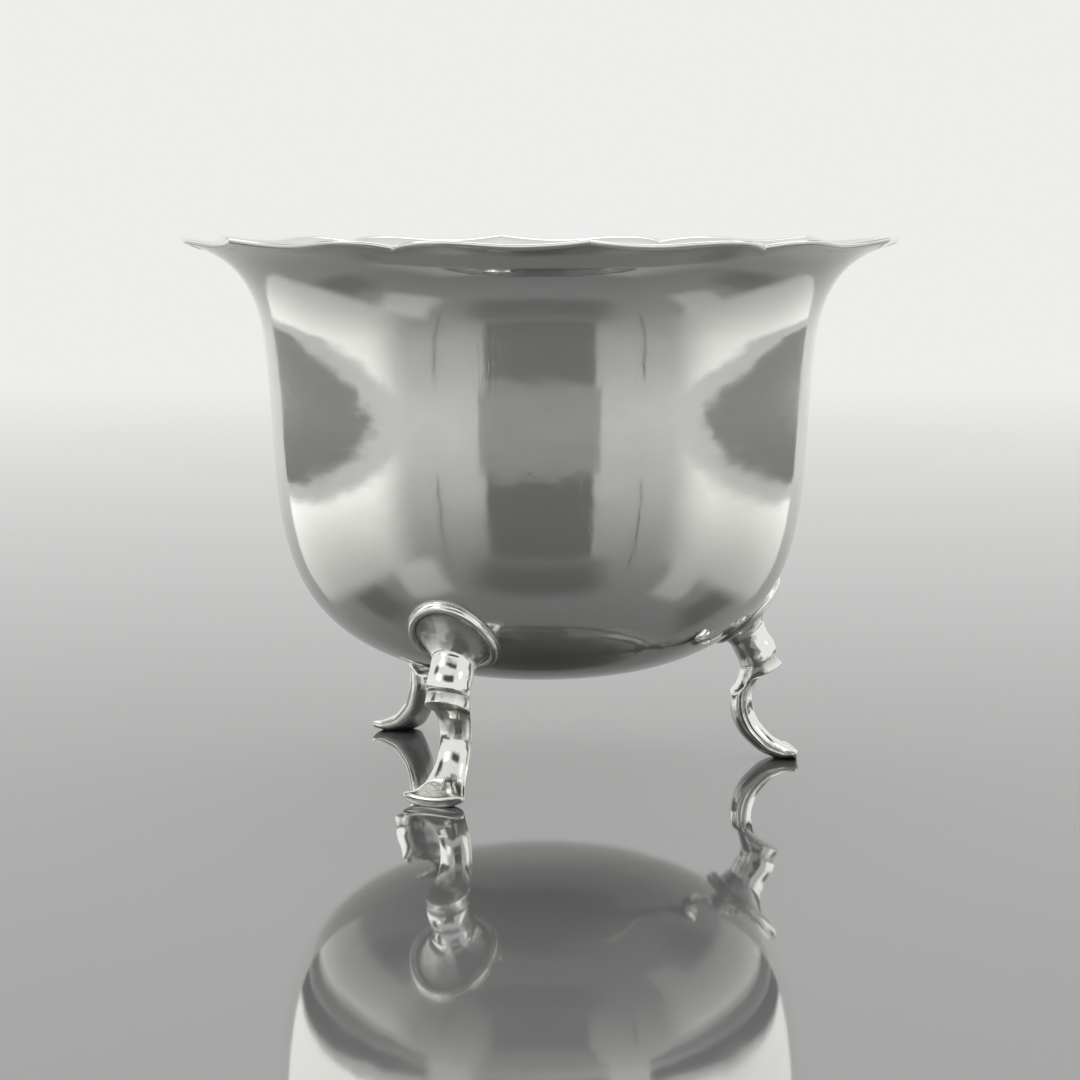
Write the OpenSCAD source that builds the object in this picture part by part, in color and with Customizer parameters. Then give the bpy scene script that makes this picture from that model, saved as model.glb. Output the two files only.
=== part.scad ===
// Open salt cellar: a bell-shaped bowl with a pie-crust rim, on three cast cabriole legs.
// The origin lies on the bowl's axis at table level, +Z is up and one leg stands towards -Y.
// Every curve follows the named sizes below, in millimetres and degrees.

/* [Bowl] */
// Width over opposite points of the rim
rim_w = 90; // [84:0.5:96]
// Height of the rim points above the table
rim_h = 65.5; // [58:0.5:74]
// Slope of the flange at its edge, in degrees
rim_slope = 16; // [10:1:26]
// Width of the body at the middle of its side
body_w = 66.4; // [62:0.2:72]
// How far the throat, where the flange starts, stands outside the side
throat_out = 1.2; // [0.4:0.1:3]
// Height of the underside of the bowl above the table
base_h = 11.4; // [10:0.1:12.5]
// Thickness of the bowl's sheet
sheet_t = 0.45; // [0.35:0.05:0.8]

/* [Rim] */
// Number of points round the rim
rim_points = 6; // [6:1:8]
// How far the bays lie inside the points
bay_depth = 2.0; // [0.5:0.1:2.8]
// How far the lobes lie inside the points
lobe_depth = 0.6; // [0.2:0.1:1.4]
// How far the notches lie inside the points
notch_depth = 2.5; // [1.5:0.1:4]
// Width of the border wire along the flange
border_w = 0.9; // [0.6:0.05:1.5]
// How far the border wire stands proud of the sheet on each face
border_proud = 0.08; // [0.04:0.01:0.3]

/* [Leg pads] */
// Height of the middle of a pad above the underside of the bowl
pad_rise = 7.5; // [6.5:0.1:8.6]
// Width of a pad round the bowl
pad_w = 11; // [9:0.1:13]
// Length of a pad up the bowl
pad_l = 11.9; // [11:0.1:13.5]
// Thickness of a pad at its dished middle
pad_t = 0.5; // [0.3:0.05:0.8]
// Height of a pad's raised edge above the bowl
edge_h = 1.0; // [0.9:0.05:1.3]
// Width of a pad's raised edge
edge_w = 1.15; // [0.8:0.05:1.5]
// Width of the solder seam round a pad
seam_w = 0.3; // [0.2:0.05:0.6]

/* [Legs] */
// Height of the lip of the knee above the table
knee_h = 11.8; // [11:0.1:12.4]
// How far the middle of a shin lies inside the middle of its pad
shin_in = 0.7; // [0.1:0.1:1.5]
// How far the tip of a toe stands out from the shin
toe_out = 7.2; // [5:0.1:9]
// Width of a foot at its toe
toe_w = 7.7; // [6:0.1:9]
// How far the corners of a toe are lifted off the table
toe_lift = 0.6; // [0.2:0.1:1.1]
// How far the corners of a toe lie behind its tip
toe_back = 0.8; // [0.2:0.1:1.6]
// Width of a leg across its shin
leg_w = 4; // [3.4:0.1:5]
// Depth of a leg at its shin, from front to back
leg_d = 2.9; // [2.4:0.1:3.6]

/* [Hidden] */

leg_count = 3;
// Overrun of the cuts, and the film between parts that are soldered together
cut_over = 1;
seat_gap = 0.04;
// Steps along each span of the profile, round each ring, and along the parts of a leg
curve_steps = 9;
ring_points = 40;
edge_steps = 8;
flare_steps = 5;
leg_steps = 2;
half_steps = 8;

// Stations of the bowl's outer profile: the middle of the bottom, the shoulder, where the bottom turns into
// the side, the middle of the side, the throat and the rim point. Their heights are shares of the bowl's
bowl_h = rim_h - base_h;
shoulder_r_share = 0.78;
shoulder_h_share = 0.13;
side_h_share = 0.55;
throat_h_share = 0.79;
stations = [
    [0, base_h],
    [shoulder_r_share * body_w / 2, base_h + shoulder_h_share * bowl_h],
    [body_w / 2, base_h + side_h_share * bowl_h],
    [body_w / 2 + throat_out, base_h + throat_h_share * bowl_h],
    [rim_w / 2, rim_h]
];

// Slope of the profile at each station, and the handles before and after it as shares of the spans
shoulder_slope = 42.5;
side_slope = 86.2;
throat_slope = 80.7;
slopes = [0, shoulder_slope, side_slope, throat_slope, rim_slope];
handle_shares = [[0, 0.245], [0.38, 0.34], [0.39, 0.38], [0.37, 0.54], [0.33, 0]];

function unit(v) = v / norm(v);
function heading(angle) = [cos(angle), sin(angle)];
function mix(a, b, t) = a + (b - a) * t;

// Cubic curve through its handles, and its direction
function bezier(p, t) = let (u = 1 - t)
    p[0] * u * u * u + 3 * p[1] * u * u * t + 3 * p[2] * u * t * t + p[3] * t * t * t;
function bezier_slope(p, t) = let (u = 1 - t)
    3 * ((p[1] - p[0]) * u * u + 2 * (p[2] - p[1]) * u * t + (p[3] - p[2]) * t * t);

function span(i) = let (
    start = stations[i],
    end = stations[i + 1],
    chord = norm(end - start),
    first = heading(slopes[i]) * chord * handle_shares[i][1],
    last = heading(slopes[i + 1]) * chord * handle_shares[i + 1][0]
) [start, start + first, end - last, end];

// Outer profile of the bowl: s runs from 0 at the axis to 4 at the rim points
last_span = len(stations) - 2;
function span_at(s) = min(last_span, floor(s));
function skin(s) = bezier(span(span_at(s)), s - span_at(s));
function skin_along(s) = bezier_slope(span(span_at(s)), s - span_at(s));
function skin_out(s) = let (d = unit(skin_along(s))) [d[1], -d[0]];

// The profile moved outwards by h, and run on past the rim points for the outline to cut
function skin_line(h) = concat(
    [for (k = [0 : curve_steps * (last_span + 1)]) let (s = k / curve_steps) skin(s) + skin_out(s) * h],
    [skin(last_span + 1) + skin_out(last_span + 1) * h + heading(rim_slope) * cut_over]
);

// Keeps the first point of a profile on the axis
function on_axis(points) = [for (k = [0 : len(points) - 1]) k == 0 ? [0, points[0][1]] : points[k]];
function reversed(list) = [for (k = [len(list) - 1 : -1 : 0]) list[k]];

// Pie-crust outline. Each half repeat runs from a point through a bay and a lobe to a notch
bay_share = 0.35;
lobe_share = 0.75;
function swell(t) = (1 - cos(180 * t)) / 2;
function crust_depth(t) =
    t < bay_share ? bay_depth * (1 - pow(1 - t / bay_share, 2)) :
    t < lobe_share ? mix(bay_depth, lobe_depth, swell((t - bay_share) / (lobe_share - bay_share))) :
    mix(lobe_depth, notch_depth, pow((t - lobe_share) / (1 - lobe_share), 2));
function crust(inset) = [for (k = [0 : 2 * rim_points * half_steps - 1]) let (
    angle = 180 * k / (rim_points * half_steps),
    t = abs(k / half_steps - 2 * round(k / half_steps / 2)),
    r = rim_w / 2 - crust_depth(t) - inset
) r * heading(angle)];

module crust_prism(inset) {
    linear_extrude(height = rim_h + sheet_t + cut_over)
        polygon(crust(inset));
}

module bowl() {
    color("silver")
    intersection() {
        rotate_extrude($fn = 120)
            polygon(concat(on_axis(skin_line(0)), reversed(on_axis(skin_line(-sheet_t)))));
        crust_prism(border_w);
    }
}

module rim_border() {
    color("gainsboro")
    intersection() {
        rotate_extrude($fn = 120)
            polygon(concat(border_line(border_proud), reversed(border_line(-sheet_t - border_proud))));
        difference() {
            crust_prism(0);
            translate([0, 0, -cut_over])
                linear_extrude(height = rim_h + sheet_t + 3 * cut_over)
                    polygon(crust(border_w));
        }
    }
}

// The part of the profile that the border covers, from the throat outwards
border_start = curve_steps * last_span + 2;
function border_line(h) = let (line = skin_line(h)) [for (k = [border_start : len(line) - 1]) line[k]];

// Run of the profile from the axis, so that a pad keeps its size along the sheet
run_steps = 12;
function run_table(k = 0, run = 0) = let (
    s = k / run_steps,
    rest = k == run_steps * 3 ? [] : run_table(k + 1, run + norm(skin(s + 1 / run_steps) - skin(s)))
) concat([[run, s, skin(s)[1]]], rest);
runs = run_table();
pad_h = base_h + pad_rise;
pad_s = lookup(pad_h, [for (q = runs) [q[2], q[1]]]);
pad_run = lookup(pad_h, [for (q = runs) [q[2], q[0]]]);
shin_r = skin(pad_s)[0] - shin_in;
toe_r = shin_r + toe_out;

// Point on the bowl at u round it and v up it from the middle of a pad, raised by h
function on_bowl(u, v, h) = let (
    s = lookup(pad_run + v, [for (q = runs) [q[0], q[1]]]),
    p = skin(s) + skin_out(s) * h,
    turn = u / skin(s)[0] * 180 / PI
) [p[0] * cos(turn), p[0] * sin(turn), p[1]];

// Ring round the pad, inside its outline by an inset
function pad_ring(inset, h) = [for (k = [0 : ring_points - 1]) let (a = 360 * k / ring_points)
    on_bowl((pad_w / 2 - inset) * sin(a), (pad_l / 2 - inset) * cos(a), h)];
function pad_back_ring(share) = [for (k = [0 : ring_points - 1]) let (a = 360 * k / ring_points)
    on_bowl(share * pad_w / 2 * sin(a), share * pad_l / 2 * cos(a), seat_gap)];

// Stations of a leg, top to bottom. Each row gives the place between shin and toe, the height as a share of
// the knee, the lean in degrees, the depth, the spread from the shin's width towards the toe's, the share of
// the full rib, and the roundness, where 2 is an ellipse and more is squarer
leg_shares = [
    [0.110, 1.345, 36, 1.74, 0.32, 0, 2],
    [0.170, 1.258, 33, 1.69, 0.31, 0, 2],
    [0.257, 1.172, 29, 1.75, 0.32, 0, 2],
    [0.301, 1.093, 25, 1.74, 0.35, 0, 2],
    [0.289, 1.038, 24, 1.61, 0.32, 0, 2],
    [0.132, 0.857, 23, 1.18, 0.11, 0.5, 2],
    [0.036, 0.768, 16, 1.09, 0.04, 0.8, 2],
    [0.003, 0.657, 10, 1.00, 0.00, 1, 2],
    [0.012, 0.551, 8, 1.00, 0.00, 1, 2],
    [0.066, 0.436, 16, 1.00, 0.00, 1, 2],
    [0.180, 0.311, 31, 0.98, 0.05, 1, 2],
    [0.410, 0.169, 48, 0.89, 0.27, 1, 2],
    [0.576, 0.111, 54, 0.80, 0.52, 0.9, 2.1],
    [0.764, 0.062, 60, 0.68, 0.80, 0.6, 2.4],
    [0.900, 0.046, 70, 0.48, 0.98, 0.3, 3],
    [0.975, 0.038, 84, 0.40, 1.00, 0, 3.6],
    [0.997, 0.038, 84, 0.24, 0.95, 0, 3.6]
];
back_round = 2.6;

// The lip of the knee hangs over the front between the crease and its root, which are two stations. It is
// whole up to one angle from the front and gone past another. Its edge is cut off by shares of its faces
crease = 4;
lip_shares = [0.315, 0.909, 25, 2.27, 0.34, 0, 2];
lip_full_angle = 72;
lip_gone_angle = 122;
lip_cut_shares = [0.1, 0.05];

// The rib draws the front of a section in, and a groove parts it from each side, as shares of the half width
rib_share = 0.05;
groove_share = 0.09;
groove_angle = 8;
function ease(x) = let (t = max(0, min(1, x))) t * t * (3 - 2 * t);
function drawn_in(side) =
    rib_share * max(0, min(1, (90 + groove_angle - side) / (2 * groove_angle)))
    + groove_share * ease(1 - abs(side - 90) / groove_angle);

// Smooth curve through a table of stations
function station(table, i) = table[max(0, min(len(table) - 1, i))];
function spline(table, x) = let (
    i = min(len(table) - 2, floor(x)),
    t = x - i,
    a = station(table, i - 1),
    b = station(table, i),
    c = station(table, i + 1),
    d = station(table, i + 2)
) b + t * ((c - a) / 2 + t * ((2 * a - 5 * b + 4 * c - d) / 2 + t * (3 * b - a - 3 * c + d) / 2));

function power(x, n) = sign(x) * pow(abs(x), n);

// Angle from the front of a leg to a point of a ring, the same on both sides
function side_angle(k) = 180 - abs(180 - 360 * k / ring_points);

// Closed section of a leg at one station. A foot curves up and back towards its corners, and its sole is flat
function leg_ring(row) = [for (k = [0 : ring_points - 1]) let (
    a = 360 * k / ring_points,
    side = side_angle(k),
    n = 2 / (side < 90 ? row[6] : max(row[6], back_round)),
    width = mix(leg_w, toe_w, row[4]) * (1 - row[5] * drawn_in(side)),
    across = width / 2 * power(sin(a), n),
    out = leg_d * row[3] / 2 * power(cos(a), n),
    corner = pow(row[4] * 2 * across / toe_w, 2),
    r = mix(shin_r, toe_r, row[0]) + out * cos(row[2]) - toe_back * corner,
    z = knee_h * row[1] + out * sin(row[2]) + toe_lift * corner
) [r, across, max(0, z)]];

function leg_rings(first, last) =
    [for (k = [0 : leg_steps * (last - first)]) leg_ring(spline(leg_shares, first + k / leg_steps))];

// Rings over the edge of the lip, from the crease towards the root. They fade into the plain leg at its sides
function lip_rings() = let (
    edge = leg_ring(lip_shares),
    ends = [leg_ring(leg_shares[crease]), leg_ring(leg_shares[crease + 1])],
    step = 1 / (len(ends) + 1)
) [for (j = [0 : len(ends) - 1]) let (plain = leg_ring(spline(leg_shares, crease + (j + 1) * step)))
    [for (k = [0 : ring_points - 1])
        let (fade = ease((lip_gone_angle - side_angle(k)) / (lip_gone_angle - lip_full_angle)))
        mix(plain[k], mix(edge[k], ends[j][k], lip_cut_shares[j]), fade)]];

// Flare from the dished pad into the neck of the leg. The pull stands the neck off the bowl
neck_pull = 0.9;
function flare_rings() = let (
    neck = leg_ring(leg_shares[0]),
    dish = pad_ring(edge_w, pad_t),
    out = skin_out(pad_s),
    pull = neck_pull * [out[0], 0, out[1]]
) [for (j = [1 : flare_steps - 1]) let (t = j / flare_steps)
    [for (k = [0 : ring_points - 1]) let (corner = neck[k] - pull)
        mix(mix(dish[k], corner, t), mix(corner, neck[k], t), t)]];

// Raised round edge of the pad, from the bowl over the crest to the dish
function edge_rings() = [for (j = [0 : edge_steps]) let (a = 180 * j / edge_steps)
    pad_ring(edge_w / 2 * (1 - cos(a)), mix(a < 90 ? seat_gap : pad_t, edge_h, sin(a)))];

pad_back_shares = [0.33, 0.66];
function leg_skin() = concat(
    [for (share = pad_back_shares) pad_back_ring(share)],
    edge_rings(),
    flare_rings(),
    leg_rings(0, crease),
    lip_rings(),
    leg_rings(crease + 1, len(leg_shares) - 1)
);

// Solid from a list of rings, closed by a point at each end
function tube_faces(rings, n) = let (last = (rings - 1) * n) concat(
    [for (a = [0 : n : last - n], k = [0 : n - 1]) [a + k, a + (k + 1) % n, a + n + (k + 1) % n]],
    [for (a = [0 : n : last - n], k = [0 : n - 1]) [a + k, a + n + (k + 1) % n, a + n + k]],
    [for (k = [0 : n - 1]) [rings * n, (k + 1) % n, k]],
    [for (k = [0 : n - 1]) [rings * n + 1, last + k, last + (k + 1) % n]]
);
function middle(ring) = [for (p = ring) 1] * ring / len(ring);

module leg(turn) {
    rings = leg_skin();
    toe = middle(rings[len(rings) - 1]);
    points = concat([for (ring = rings) each ring], [on_bowl(0, 0, seat_gap), toe]);
    rotate([0, 0, turn])
        polyhedron(points, tube_faces(len(rings), ring_points));
}

// Bead of solder in the corner between the pad and the bowl
module solder(turn) {
    bead = [[-seam_w, seat_gap / 2], [0, seat_gap / 2], [0, seam_w]];
    n = len(bead);
    points = [for (k = [0 : ring_points - 1], b = bead) pad_ring(b[0], b[1])[k]];
    total = ring_points * n;
    rotate([0, 0, turn])
        polyhedron(points, [for (k = [0 : ring_points - 1], i = [0 : n - 1], half = [0, 1]) let (
            a = k * n + i, b = k * n + (i + 1) % n, c = (a + n) % total, d = (b + n) % total)
            half == 0 ? [a, b, d] : [a, d, c]]);
}

module leg_front() { color("lightgray") leg(-90); }
module leg_right() { color("lightgray") leg(-90 + 360 / leg_count); }
module leg_left() { color("lightgray") leg(-90 - 360 / leg_count); }
module solder_front() { color("darkgray") solder(-90); }
module solder_right() { color("darkgray") solder(-90 + 360 / leg_count); }
module solder_left() { color("darkgray") solder(-90 - 360 / leg_count); }

bowl();
rim_border();
leg_front();
leg_right();
leg_left();
solder_front();
solder_right();
solder_left();
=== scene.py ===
"""Open salt cellar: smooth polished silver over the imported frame, on a pale floor in soft studio light.

The meshes follow the same named sizes and curves as the solids, in millimetres and degrees, with
more rings.
"""
from math import cos, pi, radians, sin, tan, tau

import bpy
import numpy as np
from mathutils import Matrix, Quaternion, Vector


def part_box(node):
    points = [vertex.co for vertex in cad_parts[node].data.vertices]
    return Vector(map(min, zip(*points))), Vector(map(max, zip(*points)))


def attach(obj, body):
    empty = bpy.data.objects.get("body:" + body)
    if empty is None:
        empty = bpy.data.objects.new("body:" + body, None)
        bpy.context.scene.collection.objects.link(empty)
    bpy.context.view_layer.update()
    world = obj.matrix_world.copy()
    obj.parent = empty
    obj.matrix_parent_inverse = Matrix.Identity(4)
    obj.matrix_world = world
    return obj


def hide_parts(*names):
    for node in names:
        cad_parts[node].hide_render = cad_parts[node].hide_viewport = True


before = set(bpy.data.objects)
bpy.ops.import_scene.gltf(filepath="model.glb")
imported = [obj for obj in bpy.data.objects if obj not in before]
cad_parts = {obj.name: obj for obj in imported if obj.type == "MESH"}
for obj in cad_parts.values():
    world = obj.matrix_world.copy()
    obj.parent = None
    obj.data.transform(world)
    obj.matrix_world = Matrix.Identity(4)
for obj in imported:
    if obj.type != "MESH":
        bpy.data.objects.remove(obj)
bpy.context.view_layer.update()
MM = 0.001

# Sizes taken from the frame
border_low, border_high = (np.array(corner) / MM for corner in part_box("rim_border"))
rim_w = border_high[0] - border_low[0]
base_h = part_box("bowl")[0][2] / MM

# Bowl: stations of the outer profile, its slope at each, and the handles before and after each as shares
rim_h = 65.5
rim_slope = 16
body_w = 66.4
throat_out = 1.2
sheet_t = 0.45
bowl_h = rim_h - base_h
shoulder_r_share = 0.78
shoulder_h_share = 0.13
side_h_share = 0.55
throat_h_share = 0.79
stations = np.array([
    [0, base_h],
    [shoulder_r_share * body_w / 2, base_h + shoulder_h_share * bowl_h],
    [body_w / 2, base_h + side_h_share * bowl_h],
    [body_w / 2 + throat_out, base_h + throat_h_share * bowl_h],
    [rim_w / 2, rim_h],
])
slopes = [0, 42.5, 86.2, 80.7, rim_slope]
handle_shares = [[0, 0.245], [0.38, 0.34], [0.39, 0.38], [0.37, 0.54], [0.33, 0]]
throat_s = 3.0
axis_share = 0.04

# Rim: depths inside the points, and places along each half repeat from a point to a notch
rim_points = 6
bay_depth = 2.0
lobe_depth = 0.6
notch_depth = 2.5
bay_share = 0.35
lobe_share = 0.75
border_w = 0.9
border_proud = 0.08
border_round = 2.8

# Leg pads
pad_rise = 7.5
pad_w = 11.0
pad_l = 11.9
pad_t = 0.5
edge_h = 1.0
edge_w = 1.15
seam_w = 0.3
seam_overlap = 0.02
seam_root = 0.1

# Legs
knee_h = 11.8
shin_in = 0.7
toe_out = 7.2
toe_w = 7.7
toe_lift = 0.6
toe_back = 0.8
leg_w = 4.0
leg_d = 2.9
leg_turns = {"front": -90, "right": 30, "left": -210}
neck_pull = 0.9
back_round = 2.6
rib_share = 0.05
groove_share = 0.09
groove_angle = 8

# Lip of a knee: where it fades round the leg, how its edge is cut off, and its rings above and below it
lip_full_angle = 72
lip_gone_angle = 122
lip_cut_above = 0.12
lip_cut_below = 0.06
lip_above = (0.06, 0.35, 0.7)
lip_below = (0.3, 0.65, 0.94)

# Steps of the meshes
half_steps = 26
body_rings = 96
flange_rings = 40
wire_steps = 28
leg_points = 160
edge_steps = 20
flare_steps = 18
station_steps = 8
corner_steps = 5
seam_steps = 8


def heading(angle):
    return np.array([cos(radians(angle)), sin(radians(angle))])


def power(x, n):
    return np.sign(x) * np.abs(x) ** n


def near(distance, reach):
    """1 at no distance, falling smoothly to 0 at the reach."""
    x = np.clip(np.abs(distance) / reach, 0, 1)
    return 1 - x * x * (3 - 2 * x)


# Outer profile of the bowl
def span(i):
    start, end = stations[i], stations[i + 1]
    chord = np.linalg.norm(end - start)
    first = heading(slopes[i]) * chord * handle_shares[i][1]
    last = heading(slopes[i + 1]) * chord * handle_shares[i + 1][0]
    return np.array([start, start + first, end - last, end])


def skin(s, h=0.0):
    """Points of the profile at s, from 0 at the axis to 4 at the rim points, moved outwards by h."""
    s = np.atleast_1d(np.asarray(s, float))
    place = np.empty((len(s), 2))
    slope = np.empty((len(s), 2))
    which = np.minimum(len(stations) - 2, s.astype(int))
    for i in range(len(stations) - 1):
        chosen = which == i
        t = (s[chosen] - i)[:, None]
        u = 1 - t
        p = span(i)
        place[chosen] = p[0] * u**3 + 3 * p[1] * u * u * t + 3 * p[2] * u * t * t + p[3] * t**3
        slope[chosen] = (p[1] - p[0]) * u * u + 2 * (p[2] - p[1]) * u * t + (p[3] - p[2]) * t * t
    slope /= np.linalg.norm(slope, axis=1, keepdims=True)
    return place + h * np.column_stack([slope[:, 1], -slope[:, 0]])


def skin_out(s):
    return (skin(s, 1.0) - skin(s))[0]


table_s = np.linspace(0, 4, 4001)
table_place = skin(table_s)
table_run = np.concatenate([[0], np.cumsum(np.linalg.norm(np.diff(table_place, axis=0), axis=1))])


# Pie-crust outline
def crust_depth(t):
    swell = (1 - np.cos(pi * (t - bay_share) / (lobe_share - bay_share))) / 2
    bay = bay_depth * (1 - (1 - t / bay_share) ** 2)
    lobe = bay_depth + (lobe_depth - bay_depth) * swell
    notch = lobe_depth + (notch_depth - lobe_depth) * ((t - lobe_share) / (1 - lobe_share)) ** 2
    return np.where(t < bay_share, bay, np.where(t < lobe_share, lobe, notch))


def crust_table():
    """Angles round the rim, closer together at the points and notches, and the outline's radius there."""
    t = (1 - np.cos(np.linspace(0, pi, half_steps + 1))) / 2
    there_and_back = np.concatenate([t[:-1], t[::-1][:-1]])
    place = np.concatenate([t[:-1], 2 - t[::-1][:-1]])
    angles = np.concatenate([(place + 2 * k) * pi / rim_points for k in range(rim_points)])
    return angles, rim_w / 2 - np.tile(crust_depth(there_and_back), rim_points)


crust_angles, crust_r = crust_table()


# Meshes
def make(name, rings, caps=None, loop=False, tarnish=0.0, worn=0.0):
    """A smooth closed mesh through rings of points in millimetres, with a point at each end or joined in
    a loop. Tarnish and wear are shares for each ring or point."""
    rings = np.asarray(rings, float)
    m, n = rings.shape[:2]
    points = rings.reshape(-1, 3)
    k = np.arange(n)
    after = (k + 1) % n
    faces = []
    for j in range(m if loop else m - 1):
        a, b = j * n, (j + 1) % m * n
        faces += np.column_stack([a + k, a + after, b + after, b + k]).tolist()
    if caps is not None:
        points = np.vstack([points, caps])
        faces += np.column_stack([np.full(n, m * n), after, k]).tolist()
        faces += np.column_stack([np.full(n, m * n + 1), (m - 1) * n + k, (m - 1) * n + after]).tolist()
    mesh = bpy.data.meshes.new(name)
    mesh.from_pydata((points * MM).tolist(), [], faces)
    mesh.update()
    mesh.shade_smooth()
    for label, shares in (("tarnish", tarnish), ("worn", worn)):
        attribute = mesh.attributes.new(label, "FLOAT", "POINT")
        values = np.full(len(points), np.asarray(shares).flat[-1], np.float32)
        values[: m * n] = np.broadcast_to(shares, (m, n)).ravel()
        attribute.data.foreach_set("value", values)
    return link(name, mesh)


def link(name, data):
    piece = bpy.data.objects.new(name, data)
    bpy.context.scene.collection.objects.link(piece)
    return piece


def revolve(r, z, angles):
    """A ring of points at one angle each, from a radius and a height for each angle."""
    return np.column_stack([r * np.cos(angles), r * np.sin(angles), np.broadcast_to(z, angles.shape)])


def turned(rings, turn):
    c, s = heading(turn)
    return np.asarray(rings) @ np.array([[c, s, 0], [-s, c, 0], [0, 0, 1]])


# Bowl: one closed shell whose last rings follow the outline, with the edge inside the border wire
def side_rings(h):
    line = skin(table_s, h)
    rings = []
    runs = np.linspace(axis_share, 1, body_rings) * np.interp(throat_s, table_s, table_run)
    for s in np.interp(runs, table_run, table_s):
        r, z = skin(s, h)[0]
        rings.append(revolve(r, z, crust_angles))
    end_s = np.interp(crust_r - border_w / 2, line[:, 0], table_s)
    for share in np.linspace(0, 1, flange_rings + 1)[1:]:
        place = skin(throat_s + (end_s - throat_s) * share, h)
        rings.append(revolve(place[:, 0], place[:, 1], crust_angles))
    return rings


def make_bowl():
    """The shell, with tarnish along the border wire. A wear share is reckoned for the inside, but it comes
    out as zero on every ring.
    """
    outer = side_rings(0.0)
    inner = side_rings(-sheet_t)[::-1]
    axis = [[0, 0, base_h], [0, 0, base_h + sheet_t]]
    count = len(outer)
    edge = np.concatenate([np.arange(count), np.arange(count)[::-1]]) - (count - 1)
    fold = near(edge, flange_rings * 0.2)
    inside = np.clip((edge - flange_rings * 0.6) / (flange_rings * 0.5), 0, 1)
    return make("bowl_shell", outer + inner, caps=axis, tarnish=fold[:, None], worn=inside[:, None])


# Border wire: a rounded section that follows the outline and the slope of the flange
def make_border():
    middle = skin(table_s, -sheet_t / 2)
    wire_a = np.linspace(0, tau, wire_steps + 1)[:-1]
    rings = []
    for a in wire_a:
        inset = border_w / 2 * (1 - power(cos(a), 2 / border_round))
        lift = (sheet_t / 2 + border_proud) * power(sin(a), 2 / border_round)
        r = crust_r - inset
        s = np.interp(r, middle[:, 0], table_s)
        beyond = np.maximum(0, r - middle[-1, 0]) * tan(radians(rim_slope))
        level = skin(s)[:, 1] - skin(s, 1.0)[:, 1]
        z = skin(s, -sheet_t / 2)[:, 1] + beyond - lift / level
        rings.append(revolve(r, z, crust_angles))
    inner_corners = near(np.abs(wire_a - pi) - 0.6, 0.5)[:, None]
    return make("border_wire", rings[::-1], loop=True, tarnish=inner_corners)


# Pads: rings laid on the bowl
pad_h = base_h + pad_rise
pad_s = float(np.interp(pad_h, table_place[:, 1], table_s))
pad_run = float(np.interp(pad_s, table_s, table_run))
shin_r = skin(pad_s)[0][0] - shin_in
toe_r = shin_r + toe_out
ring_a = np.linspace(0, tau, leg_points + 1)[:-1]
side_a = np.degrees(np.abs(np.arctan2(np.sin(ring_a), np.cos(ring_a))))


def on_bowl(u, v, h):
    """Points on the bowl at u round it and v up it from the middle of a pad, raised by h."""
    s = np.interp(pad_run + v, table_run, table_s)
    flat = skin(s)
    place = skin(s, 1.0)
    place = flat + (place - flat) * np.broadcast_to(h, s.shape)[:, None]
    turn = u / flat[:, 0]
    return np.column_stack([place[:, 0] * np.cos(turn), place[:, 0] * np.sin(turn), place[:, 1]])


def pad_ring(inset, h):
    return on_bowl((pad_w / 2 - inset) * np.sin(ring_a), (pad_l / 2 - inset) * np.cos(ring_a), h)


# Legs: place between shin and toe, height as a share of the knee, lean, depth, spread from the shin's width
# towards the toe's, share of the full rib and roundness. The lip lies between the crease and its root.
leg_shares = np.array([
    [0.110, 1.345, 36, 1.74, 0.32, 0, 2],
    [0.170, 1.258, 33, 1.69, 0.31, 0, 2],
    [0.257, 1.172, 29, 1.75, 0.32, 0, 2],
    [0.301, 1.093, 25, 1.74, 0.35, 0, 2],
    [0.289, 1.038, 24, 1.61, 0.32, 0, 2],
    [0.132, 0.857, 23, 1.18, 0.11, 0.5, 2],
    [0.036, 0.768, 16, 1.09, 0.04, 0.8, 2],
    [0.003, 0.657, 10, 1.00, 0.00, 1, 2],
    [0.012, 0.551, 8, 1.00, 0.00, 1, 2],
    [0.066, 0.436, 16, 1.00, 0.00, 1, 2],
    [0.180, 0.311, 31, 0.98, 0.05, 1, 2],
    [0.410, 0.169, 48, 0.89, 0.27, 1, 2],
    [0.576, 0.111, 54, 0.80, 0.52, 0.9, 2.1],
    [0.764, 0.062, 60, 0.68, 0.80, 0.6, 2.4],
    [0.900, 0.046, 70, 0.48, 0.98, 0.3, 3],
    [0.975, 0.038, 84, 0.40, 1.00, 0, 3.6],
    [0.997, 0.038, 84, 0.24, 0.95, 0, 3.6],
])
lip_shares = np.array([0.315, 0.909, 25, 2.27, 0.34, 0, 2])
crease = 4


def spline(table, x):
    i = min(len(table) - 2, int(x))
    t = x - i
    a, b, c, d = (table[max(0, min(len(table) - 1, i + k))] for k in (-1, 0, 1, 2))
    return b + t * ((c - a) / 2 + t * ((2 * a - 5 * b + 4 * c - d) / 2 + t * (3 * b - a - 3 * c + d) / 2))


def leg_ring(row):
    """Closed section of a leg at one station, with a rib in front and a groove at each side. A foot curves
    up and back towards its corners, and its sole is flat on the table."""
    out, height, lean, depth, spread, rib, rounding = row
    n = 2 / np.where(side_a < 90, rounding, max(rounding, back_round))
    rib_step = np.clip(0.5 - (side_a - 90) / groove_angle / 2, 0, 1)
    dip = rib * (rib_share * rib_step + groove_share * near(side_a - 90, groove_angle))
    across = (leg_w + (toe_w - leg_w) * spread) / 2 * power(np.sin(ring_a), n) * (1 - dip)
    reach = leg_d * depth / 2 * power(np.cos(ring_a), n)
    corner = (spread * 2 * across / toe_w) ** 2
    r = shin_r + (toe_r - shin_r) * out + reach * cos(radians(lean)) - toe_back * corner
    z = knee_h * height + reach * sin(radians(lean)) + toe_lift * corner
    return np.column_stack([r, across, np.maximum(0, z)])


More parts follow.
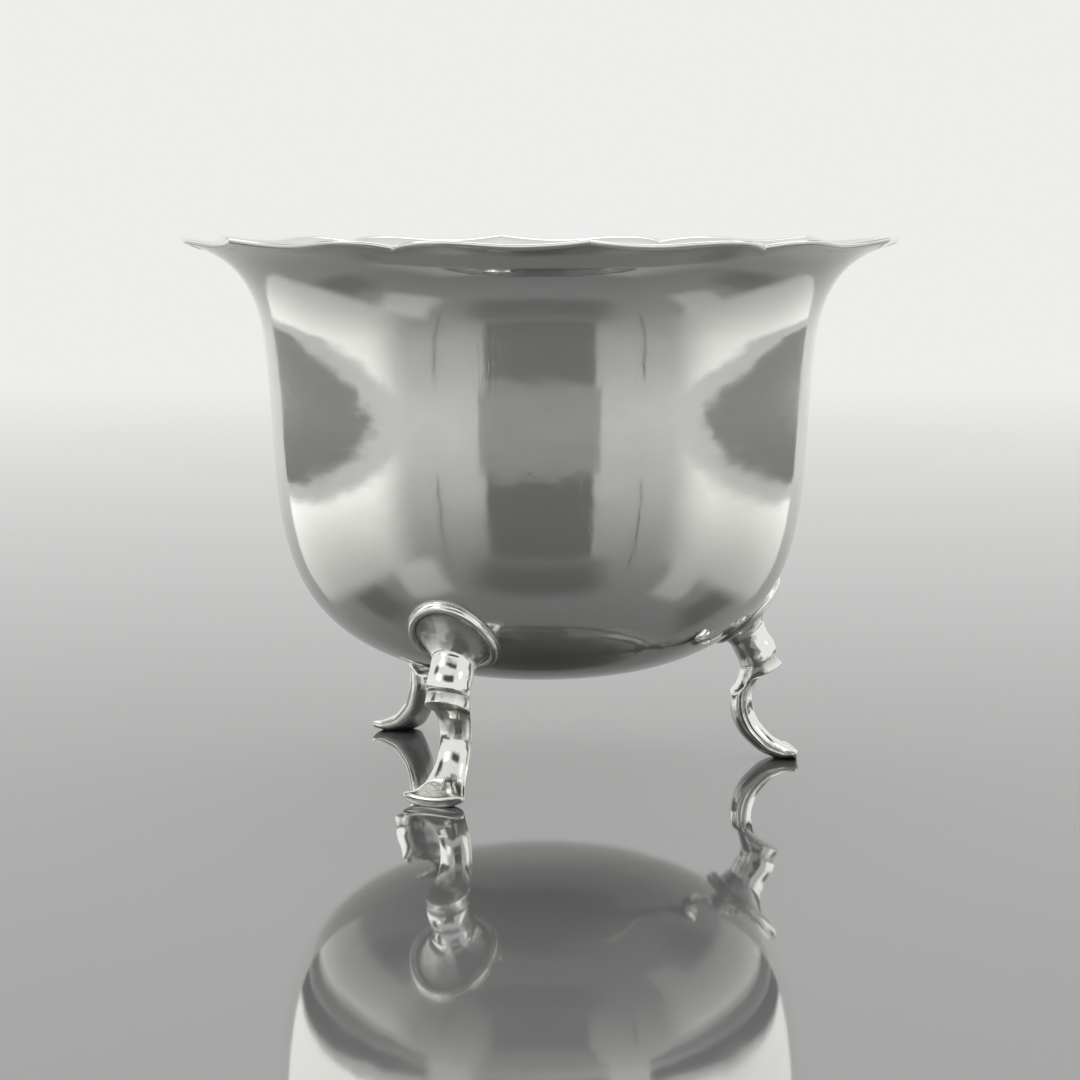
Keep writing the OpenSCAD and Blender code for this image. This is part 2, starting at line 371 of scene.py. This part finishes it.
def leg_rings(first, last):
    steps = station_steps * (last - first)
    return [leg_ring(spline(leg_shares, first + k / station_steps)) for k in range(steps + 1)]


def lip_rings():
    """From the crease over the lip's edge to its root. The lip fades out at the sides of the leg."""
    top = leg_ring(leg_shares[crease])
    edge = leg_ring(lip_shares)
    root = leg_ring(leg_shares[crease + 1])
    start = edge + (top - edge) * lip_cut_above
    end = edge + (root - edge) * lip_cut_below
    lip = [top + (start - top) * t for t in lip_above]
    for t in np.linspace(0, 1, corner_steps + 1):
        lip.append((start * (1 - t) + edge * t) * (1 - t) + (edge * (1 - t) + end * t) * t)
    lip += [end + (root - end) * t for t in lip_below]
    column = [leg_ring(spline(leg_shares, crease + k / (len(lip) + 1))) for k in range(1, len(lip) + 1)]
    fade = (1 - near(np.clip(side_a - lip_gone_angle, -90, 0), lip_gone_angle - lip_full_angle))[:, None]
    return [plain + (proud - plain) * fade for plain, proud in zip(column, lip)]


def edge_rings():
    rings = []
    for a in np.linspace(0, pi, edge_steps + 1):
        foot = 0.0 if a < pi / 2 else pad_t
        rings.append(pad_ring(edge_w / 2 * (1 - cos(a)), foot + (edge_h - foot) * sin(a)))
    return rings


def flare_rings():
    neck = leg_ring(leg_shares[0])
    dish = pad_ring(edge_w, pad_t)
    out = skin_out(pad_s)
    corner = neck - neck_pull * np.array([out[0], 0, out[1]])
    rings = []
    for t in np.linspace(0, 1, flare_steps + 1)[1:-1]:
        rings.append((dish * (1 - t) + corner * t) * (1 - t) + (corner * (1 - t) + neck * t) * t)
    return rings


def leg_marks(pad_end, lip_start, lip_end, count):
    """Tarnish round the pad's foot and dish, above and below the lip, and in the grooves down to the foot.
    Each mark fades out over a number of rings."""
    place = np.arange(count)[:, None]
    pad = np.maximum(near(place, 4), near(place - pad_end, 3)) + 0 * side_a
    front = near(np.maximum(0, side_a - lip_full_angle), lip_gone_angle - lip_full_angle)
    knee = front * np.maximum(near(place - lip_start, 3), near(place - lip_end, 6))
    shin = (place >= lip_end) * near(np.maximum(0, place - (count - 30)), 24)
    return np.maximum(np.maximum(pad, knee), shin * near(side_a - 90, groove_angle))


def make_leg(side, turn):
    thigh = leg_rings(0, crease)
    shin = leg_rings(crease + 1, len(leg_shares) - 1)
    groups = [edge_rings(), flare_rings(), thigh, lip_rings(), shin]
    rings = [ring for group in groups for ring in group]
    pad_end, _, lip_start, lip_end, count = np.cumsum([len(group) for group in groups])
    marks = leg_marks(pad_end, lip_start, lip_end, count)
    caps = [on_bowl(np.zeros(1), np.zeros(1), 0.0)[0], rings[-1].mean(axis=0)]
    cast = turned(rings[::-1], turn)
    return make("cast_leg_" + side, cast, caps=turned(caps[::-1], turn), tarnish=marks[::-1])


# Solder: a hollow fillet in the corner between the pad and the bowl
def make_solder(side, turn):
    rings = []
    for t in np.linspace(0, 1, seam_steps + 1):
        hollow = (1 - cos(t * pi / 2), 1 - sin(t * pi / 2))
        rings.append(pad_ring(-seam_w * hollow[1] + seam_overlap, seam_w * hollow[0]))
    rings.append(pad_ring(seam_root, 0.0))
    return make("solder_fillet_" + side, turned(rings[::-1], turn), loop=True, tarnish=1.0)


# Shader nodes
def nodes_of(name):
    material = bpy.data.materials.new(name)
    material.use_nodes = True
    tree = material.node_tree
    return material, tree, tree.nodes["Principled BSDF"]


def add(tree, kind, inputs=None, **settings):
    node = tree.nodes.new(kind)
    for key, value in settings.items():
        setattr(node, key, value)
    for key, value in (inputs or {}).items():
        if isinstance(value, bpy.types.NodeSocket):
            tree.links.new(value, node.inputs[key])
        else:
            node.inputs[key].default_value = value
    return node


def calc(tree, operation, *values):
    return add(tree, "ShaderNodeMath", dict(enumerate(values)), operation=operation).outputs["Value"]


def ramp(tree, value, low, high, start=0.0, end=1.0, easing="LINEAR"):
    """The value mapped from between low and high to between start and end."""
    return add(tree, "ShaderNodeMapRange", {
        "Value": value, "From Min": low, "From Max": high, "To Min": start, "To Max": end,
    }, interpolation_type=easing).outputs["Result"]


def noise(tree, place, scale, detail, roughness=0.5):
    return add(tree, "ShaderNodeTexNoise", {
        "Vector": place, "Scale": scale, "Detail": detail, "Roughness": roughness,
    }).outputs["Fac"]


def blend(tree, share, first, second):
    return add(tree, "ShaderNodeMix", {
        "Factor": share, 6: (*first, 1), 7: (*second, 1),
    }, data_type="RGBA").outputs[2]


# Silver
pale = (0.915, 0.92, 0.885)
brown = (0.42, 0.36, 0.29)
cloud_scale = 55.0
film_share = 0.12
film_dull = 0.25
smear_dull = 0.5
worn_dull = 0.16
pit_scale = 1500.0
pit_rank = 0.88
pit_depth = 0.5
scratch_scale = (1300, 1300, 40)
scratch_w = 0.02
scratch_depth = 0.4
scratch_sets = ((0.75, 0.62), (-1.25, 0.38))


def scratches(tree, place, cloud, slant, full):
    """Hair lines that run one way, growing from the clouds' middle tone to the one where they are full."""
    way = add(tree, "ShaderNodeMapping", {
        "Vector": place, "Rotation": (slant, 0.4 * slant, 0), "Scale": scratch_scale,
    }).outputs["Vector"]
    off = calc(tree, "SUBTRACT", noise(tree, way, 1.0, 1.0), 0.5)
    line = ramp(tree, calc(tree, "ABSOLUTE", off), 0.0, scratch_w, scratch_depth, 0.0)
    return calc(tree, "MULTIPLY", line, ramp(tree, cloud, 0.5, full))


def silver(name, roughness, spread, grain, grain_lift, wave, wave_lift, mark_lift, tarnish):
    """Polished silver with the grain of the buff, hair scratches, small pits, faint waves, and tarnish in
    the corners. Lifts are in millimetres, and grain and wave count in a metre."""
    material, tree, shader = nodes_of(name)
    place = add(tree, "ShaderNodeTexCoord").outputs["Object"]
    along = add(tree, "ShaderNodeMapping", {"Vector": place, "Scale": grain}).outputs["Vector"]
    buff = noise(tree, along, 1.0, 5.0, 0.7)
    cloud = noise(tree, place, cloud_scale, 3.0)
    swell = noise(tree, place, wave, 2.0, 0.45)
    corners = add(tree, "ShaderNodeAttribute", attribute_name="tarnish").outputs["Fac"]
    worn = add(tree, "ShaderNodeAttribute", attribute_name="worn").outputs["Fac"]

    pits = add(tree, "ShaderNodeTexVoronoi", {"Vector": place, "Scale": pit_scale}).outputs
    dots = ramp(tree, pits["Distance"], 0.04, 0.15, 1.0, 0.0)
    rank = add(tree, "ShaderNodeSeparateColor", {"Color": pits["Color"]}).outputs["Red"]
    few = calc(tree, "GREATER_THAN", rank, pit_rank)
    spot = calc(tree, "MULTIPLY", calc(tree, "MULTIPLY", dots, few), pit_depth)

    patch = ramp(tree, cloud, 0.42, 0.72, 0.0, film_share)
    film = calc(tree, "MAXIMUM", patch, calc(tree, "MULTIPLY", corners, tarnish))
    film = calc(tree, "MAXIMUM", film, spot)
    tree.links.new(blend(tree, film, pale, brown), shader.inputs["Base Color"])
    shader.inputs["Metallic"].default_value = 1.0

    fine = ramp(tree, buff, 0.35, 0.75, roughness, roughness + spread)
    dull = calc(tree, "MULTIPLY_ADD", film, film_dull, fine)
    dull = calc(tree, "MULTIPLY_ADD", patch, smear_dull, dull)
    dull = calc(tree, "MULTIPLY_ADD", worn, worn_dull, dull)
    tree.links.new(dull, shader.inputs["Roughness"])

    marks = spot
    for slant, full in scratch_sets:
        marks = calc(tree, "MAXIMUM", marks, scratches(tree, place, cloud, slant, full))

    normal = None
    for height, lift in ((swell, wave_lift), (buff, grain_lift), (marks, mark_lift)):
        bump = add(tree, "ShaderNodeBump", {
            "Height": height, "Strength": 1.0, "Distance": lift * MM,
        }, invert=height is marks)
        if normal is not None:
            tree.links.new(normal, bump.inputs["Normal"])
        normal = bump.outputs["Normal"]
    tree.links.new(normal, shader.inputs["Normal"])
    return material


finishes = {
    "silver_sheet": silver(
        "polished_sheet", roughness=0.03, spread=0.07, grain=(300, 300, 2400), grain_lift=0.0018,
        wave=130, wave_lift=0.065, mark_lift=0.005, tarnish=0.35,
    ),
    "silver_wire": silver(
        "polished_wire", roughness=0.04, spread=0.06, grain=(900, 900, 900), grain_lift=0.0010,
        wave=300, wave_lift=0.02, mark_lift=0.002, tarnish=0.5,
    ),
    "silver_casting": silver(
        "polished_casting", roughness=0.05, spread=0.09, grain=(700, 700, 700), grain_lift=0.0045,
        wave=450, wave_lift=0.11, mark_lift=0.009, tarnish=0.6,
    ),
    "silver_solder": silver(
        "polished_solder", roughness=0.08, spread=0.10, grain=(900, 900, 900), grain_lift=0.0016,
        wave=420, wave_lift=0.03, mark_lift=0.006, tarnish=0.5,
    ),
}


def dress(piece, slot, *nodes):
    piece.data.materials.append(finishes[slot])
    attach(piece, "root")
    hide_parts(*nodes)


dress(make_bowl(), "silver_sheet", "bowl")
dress(make_border(), "silver_wire", "rim_border")
for side, turn in leg_turns.items():
    dress(make_leg(side, turn), "silver_casting", "leg_" + side)
    dress(make_solder(side, turn), "silver_solder", "solder_" + side)

# Camera: the photograph's place and lens, round the object and a little above the rim
camera_round = 23.0
camera_out = 387.4
camera_up = 68.7
camera_pitch = 5.98
camera_lens = 103.7
camera_data = bpy.data.cameras.new("camera")
camera_data.lens = camera_lens
camera_data.sensor_width = 36
camera = link("camera", camera_data)
camera.location = (
    camera_out * sin(radians(camera_round)) * MM,
    -camera_out * cos(radians(camera_round)) * MM,
    camera_up * MM,
)
camera.rotation_euler = (radians(90 - camera_pitch), 0, radians(camera_round))
bpy.context.scene.camera = camera

# Stage: a round glossy sweep, pale all round, with a painted shadow that darkens the middle of its floor
# round the object. Distances are in metres
floor_r, bend_r, wall_h = 1000.0, 300.0, 800.0
sweep_points = 96
bend_steps = 12
# The middle tone and its reach paint a shadow on the floor under and round the object; the outer tone is
# the floor's own.
painted_shadow_tone, floor_out = (0.13, 0.13, 0.13), (0.36, 0.36, 0.355)
painted_shadow_reach = (0.03, 0.4)
wall_tone = (0.85, 0.85, 0.84)
wall_fade = (0.25, 0.95)


def sweep_mesh():
    angles = np.linspace(0, tau, sweep_points + 1)[:-1]
    line = [[r, 0] for r in (60, 250, 500, floor_r)]
    for a in np.linspace(0, pi / 2, bend_steps + 1)[1:]:
        line.append([floor_r + bend_r * sin(a), bend_r * (1 - cos(a))])
    line.append([floor_r + bend_r, wall_h])
    points = np.vstack([[[0, 0, 0]]] + [revolve(float(r), z, angles) for r, z in line])
    k = np.arange(sweep_points)
    after = (k + 1) % sweep_points
    faces = np.column_stack([np.zeros(sweep_points, int), 1 + k, 1 + after]).tolist()
    for j in range(len(line) - 1):
        a, b = 1 + j * sweep_points, 1 + (j + 1) * sweep_points
        faces += np.column_stack([a + k, b + k, b + after, a + after]).tolist()
    mesh = bpy.data.meshes.new("sweep")
    mesh.from_pydata((points * MM).tolist(), [], faces)
    mesh.shade_smooth()
    return mesh


def sweep_material():
    """A glossy floor that eye and metal see fade into the one tone of the wall."""
    material, tree, shader = nodes_of("pale_sweep")
    place = add(tree, "ShaderNodeTexCoord").outputs["Object"]
    away = add(tree, "ShaderNodeVectorMath", {0: place}, operation="LENGTH").outputs["Value"]
    far = ramp(tree, away, *wall_fade, easing="SMOOTHSTEP")
    rays = add(tree, "ShaderNodeLightPath").outputs
    seen = rays["Is Camera Ray"]
    for ray in ("Is Glossy Ray", "Is Transmission Ray"):
        seen = calc(tree, "MAXIMUM", seen, rays[ray])
    tone = add(tree, "ShaderNodeEmission", {"Color": (*wall_tone, 1), "Strength": 1.0})
    mixed = add(tree, "ShaderNodeMixShader", {
        0: calc(tree, "MULTIPLY", far, seen), 1: shader.outputs["BSDF"], 2: tone.outputs["Emission"],
    })
    tree.links.new(mixed.outputs["Shader"], tree.nodes["Material Output"].inputs["Surface"])
    # Painted shadow: the floor's base colour is dark in the middle, round the object, and rises to its
    # paler outer tone.
    painted_shadow = ramp(tree, away, *painted_shadow_reach, easing="SMOOTHSTEP")
    tree.links.new(blend(tree, painted_shadow, painted_shadow_tone, floor_out), shader.inputs["Base Color"])
    shader.inputs["Roughness"].default_value = 0.7
    shader.inputs["Coat Weight"].default_value = 1.0
    shader.inputs["Coat Roughness"].default_value = 0.03
    shader.inputs["Coat IOR"].default_value = 1.9
    return material


# Lamps, flags and cards: flat sheets that face the object and that the camera doesn't see
def sheet(name, turn, out, up, aim_up, width, height, strength, fades, roll=0, by_floor=False):
    """A sheet that glows on the side towards the object and is clear at the back. Its light falls off over
    shares of its size at the left, the right, the lower edge and the upper edge. With by_floor it shows
    only in light paths of two bounces or more."""
    w, h = width / 2 * MM, height / 2 * MM
    mesh = bpy.data.meshes.new(name)
    mesh.from_pydata([(-w, -h, 0), (w, -h, 0), (w, h, 0), (-w, h, 0)], [], [(0, 1, 2, 3)])
    piece = link(name, mesh)
    angle = radians(camera_round - 90 + turn)
    piece.location = Vector((out * cos(angle), out * sin(angle), up)) * MM
    way = Vector((0, 0, aim_up)) * MM - piece.location
    piece.rotation_mode = "QUATERNION"
    piece.rotation_quaternion = way.to_track_quat("Z", "Y") @ Quaternion((0, 0, 1), radians(roll))
    piece.visible_camera = False

    material = bpy.data.materials.new(name + "_cloth")
    material.use_nodes = True
    tree = material.node_tree
    tree.nodes.clear()
    place = add(tree, "ShaderNodeTexCoord").outputs["Generated"]
    parts = add(tree, "ShaderNodeSeparateXYZ", {"Vector": place}).outputs
    level = calc(tree, "SUBTRACT", 1.0, add(tree, "ShaderNodeNewGeometry").outputs["Backfacing"])
    for axis, edge, share in zip("XXYY", (0.0, 1.0, 0.0, 1.0), fades):
        inside = share if edge == 0 else 1 - share
        level = calc(tree, "MULTIPLY", level, ramp(tree, parts[axis], edge, inside, easing="SMOOTHERSTEP"))
    if by_floor:
        depth = add(tree, "ShaderNodeLightPath").outputs["Ray Depth"]
        level = calc(tree, "MULTIPLY", level, calc(tree, "GREATER_THAN", depth, 1.5))
    clear = add(tree, "ShaderNodeBsdfTransparent").outputs["BSDF"]
    light = add(tree, "ShaderNodeEmission", {"Color": (1, 0.99, 0.97, 1), "Strength": strength})
    mixed = add(tree, "ShaderNodeMixShader", {0: level, 1: clear, 2: light.outputs["Emission"]})
    end = add(tree, "ShaderNodeOutputMaterial")
    tree.links.new(mixed.outputs["Shader"], end.inputs["Surface"])
    mesh.materials.append(material)
    return piece


lamp_aim = 30
flag_tone = 0.07


def softbox(name, turn, out, up, width, height, strength, fades):
    sheet(name, turn, out, up, lamp_aim, width, height, strength, fades)


def no_light(piece):
    piece.visible_diffuse = False
    piece.visible_shadow = False


def flag(name, turn, out, up, width, height, fades):
    """A dark card above the height of the eye, which only gloss shows."""
    no_light(sheet(name, turn, out, up, lamp_aim, width, height, flag_tone, fades))


def card(name, turn, out, up, width, height, strength, fades, roll=0):
    """A bright or dark card that only the silver shows, by way of the floor. The bare floor shows the
    wall."""
    no_light(sheet(name, turn, out, up, up / 2, width, height, strength, fades, roll, by_floor=True))


sweep = link("sweep", sweep_mesh())
sweep.data.materials.append(sweep_material())

soft = (0.3, 0.3, 0.3, 0.3)
softbox("box_top", 180, 250, 800, 900, 700, 2.2, soft)
softbox("box_left", -62, 560, 420, 380, 320, 2.4, soft)
softbox("box_right", 75, 560, 400, 300, 320, 2.0, soft)
flag("flag_front", 0, 640, 560, 1100, 520, (0.3, 0.3, 0.4, 0.45))
flag("flag_left", -105, 640, 560, 560, 520, (0.4, 0.4, 0.4, 0.45))
flag("flag_right", 115, 640, 560, 560, 520, (0.4, 0.4, 0.4, 0.45))
card("card_left", -98, 540, 232, 1100, 316, 2.2, (0.35, 0.05, 0.05, 0.35))
card("card_right", 98, 540, 232, 1100, 316, 2.0, (0.05, 0.35, 0.05, 0.35))
card("card_low_left", -94, 600, 12, 1300, 110, 0.04, (0.05, 0.02, 0.02, 0.06), 1.6)
card("card_low_right", 94, 600, 12, 1300, 110, 0.04, (0.02, 0.05, 0.02, 0.06), -1.6)
card("card_middle", 0, 700, 278, 620, 345, 0.02, (0.06, 0.06, 0.04, 0.3))
card("card_low_middle", 0, 730, 65, 900, 150, 0.35, (0.1, 0.1, 0.02, 0.1))
card("card_front_left", -32, 640, 190, 170, 360, 0.9, (0.05, 0.08, 0.15, 0.35))
card("card_front_right", 32, 640, 190, 170, 360, 0.9, (0.08, 0.05, 0.15, 0.35))
card("card_edge_left", -43, 630, 240, 14, 300, 0.02, (0.25, 0.25, 0.1, 0.2))
card("card_edge_right", 43, 630, 240, 14, 300, 0.02, (0.25, 0.25, 0.1, 0.2))

world = bpy.data.worlds.new("studio")
world.use_nodes = True
world.node_tree.nodes["Background"].inputs["Color"].default_value = (0.97, 0.985, 1.0, 1)
world.node_tree.nodes["Background"].inputs["Strength"].default_value = 0.8
bpy.context.scene.world = world
bpy.context.scene.view_settings.view_transform = "Standard"
